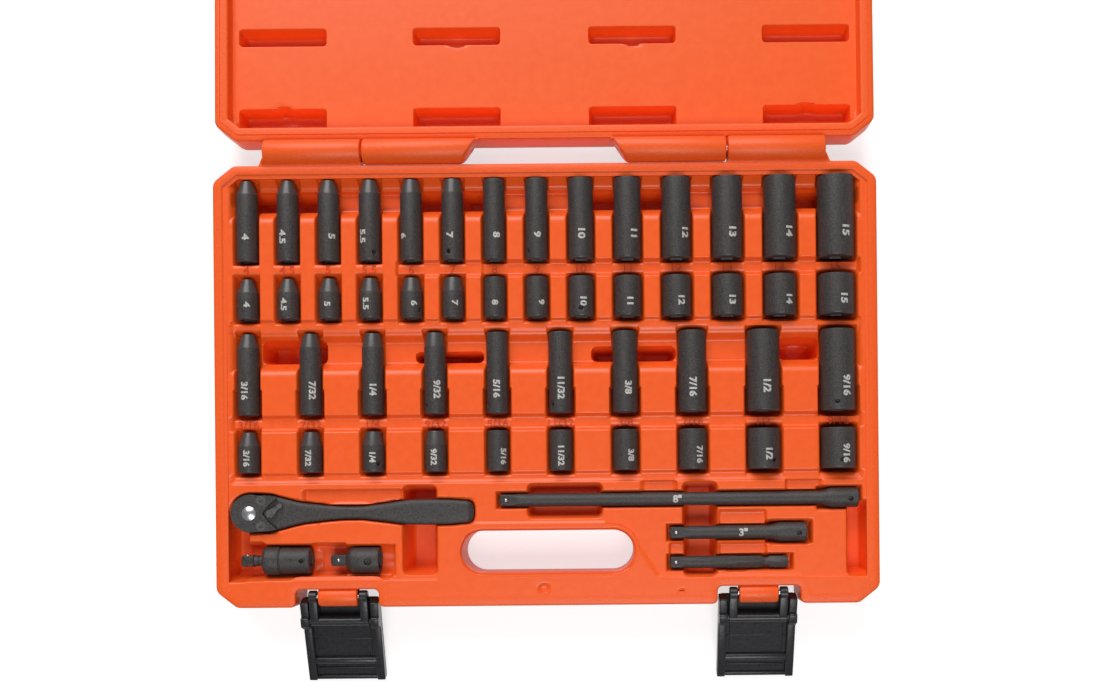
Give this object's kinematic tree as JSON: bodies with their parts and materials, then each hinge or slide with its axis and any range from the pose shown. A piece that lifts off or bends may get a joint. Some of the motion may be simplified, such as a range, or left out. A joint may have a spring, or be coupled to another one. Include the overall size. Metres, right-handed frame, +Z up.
{
  "type": "socket wrench set in case",
  "caption": "Drive socket wrench set: deep and shallow sockets, ratchet, joint, adapter and extension bars seated in a hinged two-latch blow-moulded case with a hand opening.",
  "frame": {"origin": "middle of the base's underside, on the floor", "axes": "+X along the latches to the right, +Y towards the hinge and the open lid, +Z up"},
  "size_m": [0.368, 0.5497, 0.0382],
  "materials": {
    "case_plastic": "moulded polyethylene, satin",
    "phosphate_steel": "black phosphate, matte",
    "latch_nylon": "black nylon, fine texture",
    "bright_steel": "polished"
  },
  "bodies": {
    "base": {"base_shell": "case_plastic", "base_tray": "case_plastic", "tray_metric_deep": "case_plastic", "tray_metric_shallow": "case_plastic", "tray_inch_deep": "case_plastic", "tray_inch_shallow": "case_plastic", "hinge_pins": "bright_steel", "latch_pins": "bright_steel"},
    "lid": {"lid_shell": "case_plastic", "lid_inner": "case_plastic"},
    "link_left": {"latch_link_left": "latch_nylon"},
    "lever_left": {"latch_lever_left": "latch_nylon"},
    "link_right": {"latch_link_right": "latch_nylon"},
    "lever_right": {"latch_lever_right": "latch_nylon"},
    "ratchet": {"ratchet_body": "phosphate_steel", "ratchet_cover": "phosphate_steel", "ratchet_screws": "phosphate_steel"},
    "ratchet_drive": {"drive_gear": "phosphate_steel", "drive_ball": "bright_steel"},
    "ratchet_button": {"release_button": "bright_steel"},
    "ratchet_selector": {"selector_lever": "phosphate_steel", "pawl": "phosphate_steel"},
    "joint": {"joint_barrel": "phosphate_steel"},
    "joint_cross": {"joint_pin": "bright_steel"},
    "joint_end": {"joint_drive_end": "phosphate_steel", "joint_ball": "bright_steel"},
    "adapter": {"adapter_body": "phosphate_steel", "adapter_ball": "bright_steel"},
    "extension_long": {"long_extension": "phosphate_steel", "long_extension_ball": "bright_steel"},
    "extension_short": {"short_extension": "phosphate_steel", "short_extension_ball": "bright_steel"},
    "bit_holder": {"bit_adapter": "phosphate_steel", "bit_adapter_ball": "bright_steel"},
    "pair_4mm": {"sockets_4mm": "phosphate_steel"},
    "pair_4_5mm": {"sockets_4_5mm": "phosphate_steel"},
    "pair_5mm": {"sockets_5mm": "phosphate_steel"},
    "pair_5_5mm": {"sockets_5_5mm": "phosphate_steel"},
    "pair_6mm": {"sockets_6mm": "phosphate_steel"},
    "pair_7mm": {"sockets_7mm": "phosphate_steel"},
    "pair_8mm": {"sockets_8mm": "phosphate_steel"},
    "pair_9mm": {"sockets_9mm": "phosphate_steel"},
    "pair_10mm": {"sockets_10mm": "phosphate_steel"},
    "pair_11mm": {"sockets_11mm": "phosphate_steel"},
    "pair_12mm": {"sockets_12mm": "phosphate_steel"},
    "pair_13mm": {"sockets_13mm": "phosphate_steel"},
    "pair_14mm": {"sockets_14mm": "phosphate_steel"},
    "pair_15mm": {"sockets_15mm": "phosphate_steel"},
    "pair_3_16in": {"sockets_3_16in": "phosphate_steel"},
    "pair_7_32in": {"sockets_7_32in": "phosphate_steel"},
    "pair_1_4in": {"sockets_1_4in": "phosphate_steel"},
    "pair_9_32in": {"sockets_9_32in": "phosphate_steel"},
    "pair_5_16in": {"sockets_5_16in": "phosphate_steel"},
    "pair_11_32in": {"sockets_11_32in": "phosphate_steel"},
    "pair_3_8in": {"sockets_3_8in": "phosphate_steel"},
    "pair_7_16in": {"sockets_7_16in": "phosphate_steel"},
    "pair_1_2in": {"sockets_1_2in": "phosphate_steel"},
    "pair_9_16in": {"sockets_9_16in": "phosphate_steel"}
  },
  "joints": [
    {"name": "lid_hinge", "type": "hinge", "parent": "base", "child": "lid", "pos_m": [0, 0.13005, 0.03], "axis": [-1, 0, 0], "range_deg": [-181.35, 0]},
    {"name": "link_left_pivot", "type": "hinge", "parent": "base", "child": "link_left", "pos_m": [-0.117, -0.11685, 0.028], "axis": [-1, 0, 0], "range_deg": [-72, 0]},
    {"name": "lever_left_pivot", "type": "hinge", "parent": "link_left", "child": "lever_left", "pos_m": [-0.117, -0.13112, 0.02337], "axis": [1, 0, 0], "range_deg": [-184, 0]},
    {"name": "link_right_pivot", "type": "hinge", "parent": "base", "child": "link_right", "pos_m": [0.117, -0.11685, 0.028], "axis": [-1, 0, 0], "range_deg": [-72, 0]},
    {"name": "lever_right_pivot", "type": "hinge", "parent": "link_right", "child": "lever_right", "pos_m": [0.117, -0.13112, 0.02337], "axis": [1, 0, 0], "range_deg": [-184, 0]},
    {"name": "ratchet_lift", "type": "slide", "parent": "base", "child": "ratchet", "axis": [0, 0, 1], "range_m": [0, 0.06]},
    {"name": "drive_spin", "type": "hinge", "parent": "ratchet", "child": "ratchet_drive", "pos_m": [-0.1649, -0.07015, 0.028], "axis": [0, 0, 1], "continuous": true},
    {"name": "release_press", "type": "slide", "parent": "ratchet_drive", "child": "ratchet_button", "axis": [0, 0, -1], "range_m": [0, 0.0015], "stiffness_N_per_m": 400, "springref_m": -0.001},
    {"name": "selector_turn", "type": "hinge", "parent": "ratchet", "child": "ratchet_selector", "pos_m": [-0.1531, -0.07015, 0.028], "axis": [0, 0, 1], "range_deg": [-78, 0]},
    {"name": "joint_lift", "type": "slide", "parent": "base", "child": "joint", "axis": [0, 0, 1], "range_m": [0, 0.06]},
    {"name": "joint_tip", "type": "hinge", "parent": "joint", "child": "joint_cross", "pos_m": [-0.1511, -0.09655, 0.027], "axis": [0, 1, 0], "range_deg": [-15, 15]},
    {"name": "joint_sway", "type": "hinge", "parent": "joint_cross", "child": "joint_end", "pos_m": [-0.1511, -0.09655, 0.027], "axis": [0, 0, 1], "range_deg": [-15, 15]},
    {"name": "adapter_lift", "type": "slide", "parent": "base", "child": "adapter", "axis": [0, 0, 1], "range_m": [0, 0.06]},
    {"name": "extension_long_lift", "type": "slide", "parent": "base", "child": "extension_long", "axis": [0, 0, 1], "range_m": [0, 0.06]},
    {"name": "extension_short_lift", "type": "slide", "parent": "base", "child": "extension_short", "axis": [0, 0, 1], "range_m": [0, 0.06]},
    {"name": "bit_holder_lift", "type": "slide", "parent": "base", "child": "bit_holder", "axis": [0, 0, 1], "range_m": [0, 0.06]},
    {"name": "lift_4mm", "type": "slide", "parent": "base", "child": "pair_4mm", "axis": [0, 0, 1], "range_m": [0, 0.06]},
    {"name": "lift_4_5mm", "type": "slide", "parent": "base", "child": "pair_4_5mm", "axis": [0, 0, 1], "range_m": [0, 0.06]},
    {"name": "lift_5mm", "type": "slide", "parent": "base", "child": "pair_5mm", "axis": [0, 0, 1], "range_m": [0, 0.06]},
    {"name": "lift_5_5mm", "type": "slide", "parent": "base", "child": "pair_5_5mm", "axis": [0, 0, 1], "range_m": [0, 0.06]},
    {"name": "lift_6mm", "type": "slide", "parent": "base", "child": "pair_6mm", "axis": [0, 0, 1], "range_m": [0, 0.06]},
    {"name": "lift_7mm", "type": "slide", "parent": "base", "child": "pair_7mm", "axis": [0, 0, 1], "range_m": [0, 0.06]},
    {"name": "lift_8mm", "type": "slide", "parent": "base", "child": "pair_8mm", "axis": [0, 0, 1], "range_m": [0, 0.06]},
    {"name": "lift_9mm", "type": "slide", "parent": "base", "child": "pair_9mm", "axis": [0, 0, 1], "range_m": [0, 0.06]},
    {"name": "lift_10mm", "type": "slide", "parent": "base", "child": "pair_10mm", "axis": [0, 0, 1], "range_m": [0, 0.06]},
    {"name": "lift_11mm", "type": "slide", "parent": "base", "child": "pair_11mm", "axis": [0, 0, 1], "range_m": [0, 0.06]},
    {"name": "lift_12mm", "type": "slide", "parent": "base", "child": "pair_12mm", "axis": [0, 0, 1], "range_m": [0, 0.06]},
    {"name": "lift_13mm", "type": "slide", "parent": "base", "child": "pair_13mm", "axis": [0, 0, 1], "range_m": [0, 0.06]},
    {"name": "lift_14mm", "type": "slide", "parent": "base", "child": "pair_14mm", "axis": [0, 0, 1], "range_m": [0, 0.06]},
    {"name": "lift_15mm", "type": "slide", "parent": "base", "child": "pair_15mm", "axis": [0, 0, 1], "range_m": [0, 0.06]},
    {"name": "lift_3_16in", "type": "slide", "parent": "base", "child": "pair_3_16in", "axis": [0, 0, 1], "range_m": [0, 0.06]},
    {"name": "lift_7_32in", "type": "slide", "parent": "base", "child": "pair_7_32in", "axis": [0, 0, 1], "range_m": [0, 0.06]},
    {"name": "lift_1_4in", "type": "slide", "parent": "base", "child": "pair_1_4in", "axis": [0, 0, 1], "range_m": [0, 0.06]},
    {"name": "lift_9_32in", "type": "slide", "parent": "base", "child": "pair_9_32in", "axis": [0, 0, 1], "range_m": [0, 0.06]},
    {"name": "lift_5_16in", "type": "slide", "parent": "base", "child": "pair_5_16in", "axis": [0, 0, 1], "range_m": [0, 0.06]},
    {"name": "lift_11_32in", "type": "slide", "parent": "base", "child": "pair_11_32in", "axis": [0, 0, 1], "range_m": [0, 0.06]},
    {"name": "lift_3_8in", "type": "slide", "parent": "base", "child": "pair_3_8in", "axis": [0, 0, 1], "range_m": [0, 0.06]},
    {"name": "lift_7_16in", "type": "slide", "parent": "base", "child": "pair_7_16in", "axis": [0, 0, 1], "range_m": [0, 0.06]},
    {"name": "lift_1_2in", "type": "slide", "parent": "base", "child": "pair_1_2in", "axis": [0, 0, 1], "range_m": [0, 0.06]},
    {"name": "lift_9_16in", "type": "slide", "parent": "base", "child": "pair_9_16in", "axis": [0, 0, 1], "range_m": [0, 0.06]}
  ],
  "couplings": [
    {"joint": "lever_left_pivot", "follows": "link_left_pivot", "ratio": 2.5556},
    {"joint": "lever_right_pivot", "follows": "link_right_pivot", "ratio": 2.5556}
  ]
}
